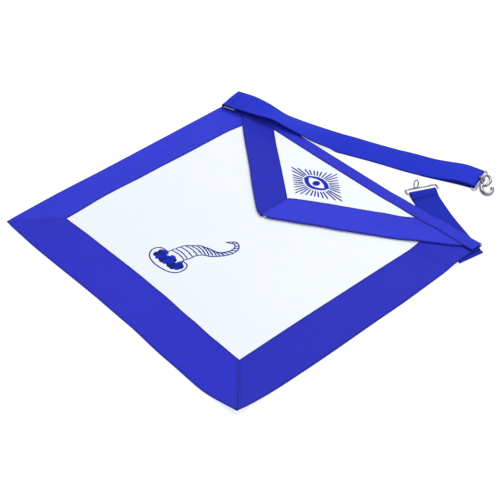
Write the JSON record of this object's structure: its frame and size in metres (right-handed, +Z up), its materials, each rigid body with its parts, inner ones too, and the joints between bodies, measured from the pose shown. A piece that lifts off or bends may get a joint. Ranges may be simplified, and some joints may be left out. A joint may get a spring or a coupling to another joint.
{
  "type": "masonic apron",
  "caption": "Lodge apron lying flat: white panel with wide blue ribbon borders, a pointed bordered flap, a waist binding and webbing straps ending in a snake hook and an eye frame.",
  "frame": {"origin": "on the table, under the middle of the apron's panel", "axes": "+X along the hem to the side of the short strap, +Y from the hem to the waist, +Z up from the table"},
  "size_m": [0.4166, 0.4654, 0.0139],
  "materials": {
    "apron_panel": "soft white",
    "border_left": "ribbed ribbon",
    "border_hem": "ribbed ribbon",
    "border_right": "ribbed ribbon",
    "flap_panel": "soft white",
    "flap_border_left": "ribbed ribbon",
    "flap_border_right": "ribbed ribbon",
    "waist_band": "ribbed ribbon",
    "long_strap": "woven webbing",
    "strap_stiffener": "felt",
    "short_strap": "woven webbing",
    "hook_frame": "nickel plate",
    "eye_frame": "nickel plate",
    "snake_hook": "nickel plate"
  },
  "bodies": {
    "root": {"apron_panel": "apron_panel", "border_left": "border_left", "border_hem": "border_hem", "border_right": "border_right", "flap_panel": "flap_panel", "flap_border_left": "flap_border_left", "flap_border_right": "flap_border_right", "waist_band": "waist_band", "long_strap": "long_strap", "strap_stiffener": "strap_stiffener", "short_strap": "short_strap", "hook_frame": "hook_frame", "eye_frame": "eye_frame"},
    "hook": {"snake_hook": "snake_hook"}
  },
  "joints": [
    {"name": "hook_lift", "type": "hinge", "parent": "root", "child": "hook", "pos_m": [0.12259, 0.26409, 0.0044], "axis": [0.3243, -0.9459, 0], "range_deg": [0, 60]}
  ]
}
